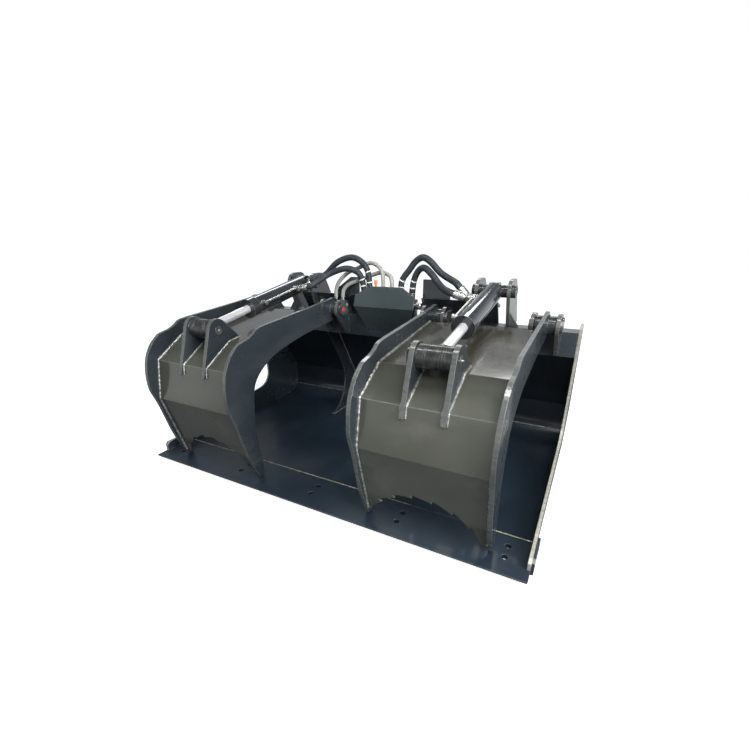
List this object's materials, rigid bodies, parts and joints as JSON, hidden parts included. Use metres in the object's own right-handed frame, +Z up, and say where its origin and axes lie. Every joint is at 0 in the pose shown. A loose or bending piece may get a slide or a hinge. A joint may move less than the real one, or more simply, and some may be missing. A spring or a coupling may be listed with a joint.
{
  "type": "clamp bucket",
  "caption": "Loader bucket with toothless cutting edge and independent hydraulic clamp claws, covered in front, on a quick-attach back plate.",
  "frame": {"origin": "centre of the footprint of the part without its hoses, on the ground", "axes": "+X to the right seen from the front, +Y to the rear towards the loader, +Z up"},
  "size_m": [1.9, 1.2451, 0.983],
  "materials": {
    "dark_paint": "glossy charcoal paint",
    "floor_paint": "satin blue-grey paint, lightly scuffed",
    "cover_paint": "glossy charcoal paint",
    "cylinder_paint": "glossy black paint",
    "chrome_rod": "polished",
    "machined_steel": "dark machined",
    "pin_steel": "turned",
    "plated_steel": "zinc plated",
    "black_hose": "textile wrapped",
    "supply_hose": "light grey sleeve",
    "cap_plastic": "moulded"
  },
  "bodies": {
    "bucket": {"cutting_edge": "floor_paint", "floor_sheet": "floor_paint", "back_sheet": "dark_paint", "side_plate_left": "dark_paint", "side_plate_right": "dark_paint", "side_wear_pads": "floor_paint", "top_beam": "dark_paint", "inner_ribs": "dark_paint", "left_claw_lugs": "dark_paint", "right_claw_lugs": "dark_paint", "left_cylinder_bracket": "dark_paint", "right_cylinder_bracket": "dark_paint", "coupler_plate": "dark_paint", "coupler_lip": "dark_paint", "coupler_ledge": "dark_paint", "rear_gussets": "dark_paint", "middle_guard": "dark_paint", "manifold_block": "cylinder_paint", "manifold_feet": "dark_paint", "manifold_adaptors": "plated_steel", "port_cap": "cap_plastic", "pivot_pins": "pin_steel", "base_pins": "pin_steel", "pin_collars": "dark_paint", "collar_bolts": "plated_steel", "quick_couplers": "plated_steel", "left_outer_hose": "black_hose", "left_inner_hose": "black_hose", "right_outer_hose": "black_hose", "right_inner_hose": "black_hose", "supply_hoses": "supply_hose"},
    "left_claw": {"left_outer_tine": "dark_paint", "left_inner_tine": "dark_paint", "left_cover_plate": "cover_paint", "left_rod_ears": "dark_paint", "left_pivot_bosses": "dark_paint", "left_rod_pin": "pin_steel", "left_rod_rings": "dark_paint"},
    "left_cylinder_barrel": {"left_barrel": "cylinder_paint", "left_gland": "machined_steel", "left_port_line": "plated_steel", "left_hose_elbows": "plated_steel"},
    "left_cylinder_rod": {"left_rod": "chrome_rod", "left_rod_eye": "dark_paint", "left_piston": "machined_steel"},
    "right_claw": {"right_outer_tine": "dark_paint", "right_inner_tine": "dark_paint", "right_cover_plate": "cover_paint", "right_rod_ears": "dark_paint", "right_pivot_bosses": "dark_paint", "right_rod_pin": "pin_steel", "right_rod_rings": "dark_paint"},
    "right_cylinder_barrel": {"right_barrel": "cylinder_paint", "right_gland": "machined_steel", "right_port_line": "plated_steel", "right_hose_elbows": "plated_steel"},
    "right_cylinder_rod": {"right_rod": "chrome_rod", "right_rod_eye": "dark_paint", "right_piston": "machined_steel"}
  },
  "joints": [
    {"name": "left_claw_hinge", "type": "hinge", "parent": "bucket", "child": "left_claw", "pos_m": [-0.5465, 0.191, 0.706], "axis": [-1, 0, 0], "range_deg": [0, 50]},
    {"name": "left_cylinder_swing", "type": "hinge", "parent": "bucket", "child": "left_cylinder_barrel", "pos_m": [-0.5465, 0.28, 0.826], "axis": [-1, 0, 0], "range_deg": [0, 45.2], "deforming": ["left_outer_hose", "left_inner_hose"]},
    {"name": "left_rod_slide", "type": "slide", "parent": "left_cylinder_barrel", "child": "left_cylinder_rod", "axis": [0, 0.9848, 0.1738], "range_m": [0, 0.1124]},
    {"name": "right_claw_hinge", "type": "hinge", "parent": "bucket", "child": "right_claw", "pos_m": [0.5465, 0.191, 0.706], "axis": [-1, 0, 0], "range_deg": [0, 50]},
    {"name": "right_cylinder_swing", "type": "hinge", "parent": "bucket", "child": "right_cylinder_barrel", "pos_m": [0.5465, 0.28, 0.826], "axis": [-1, 0, 0], "range_deg": [0, 45.2], "deforming": ["right_outer_hose", "right_inner_hose"]},
    {"name": "right_rod_slide", "type": "slide", "parent": "right_cylinder_barrel", "child": "right_cylinder_rod", "axis": [0, 0.9848, 0.1738], "range_m": [0, 0.1124]}
  ],
  "couplings": [
    {"joint": "left_cylinder_swing", "follows": "left_claw_hinge", "ratio": 0.902},
    {"joint": "left_rod_slide", "follows": "left_claw_hinge", "m_per_rad": 0.1286},
    {"joint": "right_cylinder_swing", "follows": "right_claw_hinge", "ratio": 0.902},
    {"joint": "right_rod_slide", "follows": "right_claw_hinge", "m_per_rad": 0.1286}
  ]
}
